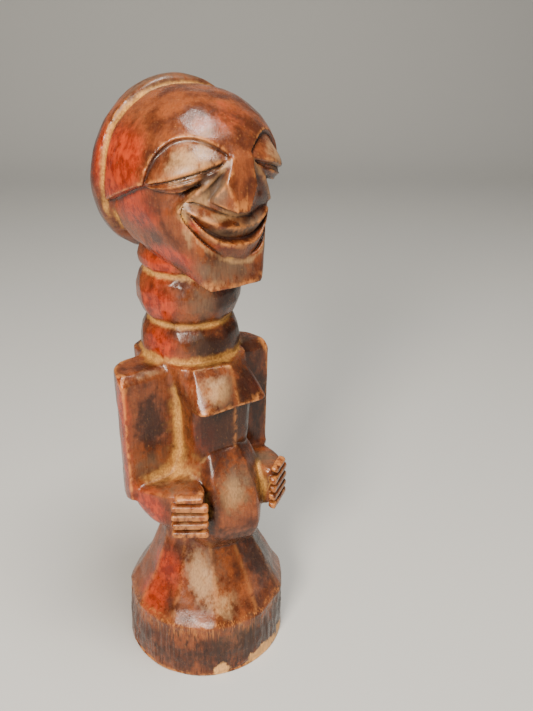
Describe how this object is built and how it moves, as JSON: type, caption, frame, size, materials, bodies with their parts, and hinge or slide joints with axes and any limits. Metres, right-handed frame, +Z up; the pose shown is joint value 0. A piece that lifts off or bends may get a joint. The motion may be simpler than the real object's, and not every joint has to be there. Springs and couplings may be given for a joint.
{
  "type": "power figure",
  "caption": "Small carved wooden half figure with a large head, closed eyes, ringed neck, hands on a round belly and a faceted cone base.",
  "frame": {"origin": "middle of the flat underside of the base, on the surface it stands on", "axes": "+Z up through the neck and head, -Y towards the front of the figure, -X towards its right hand"},
  "size_m": [0.0538, 0.0592, 0.1808],
  "materials": {
    "carved_wood": "red-brown stained carved wood with a semi-gloss waxed surface, worn edges and pale dust in the cuts"
  },
  "bodies": {
    "root": {"power_figure": "carved_wood"}
  },
  "joints": []
}
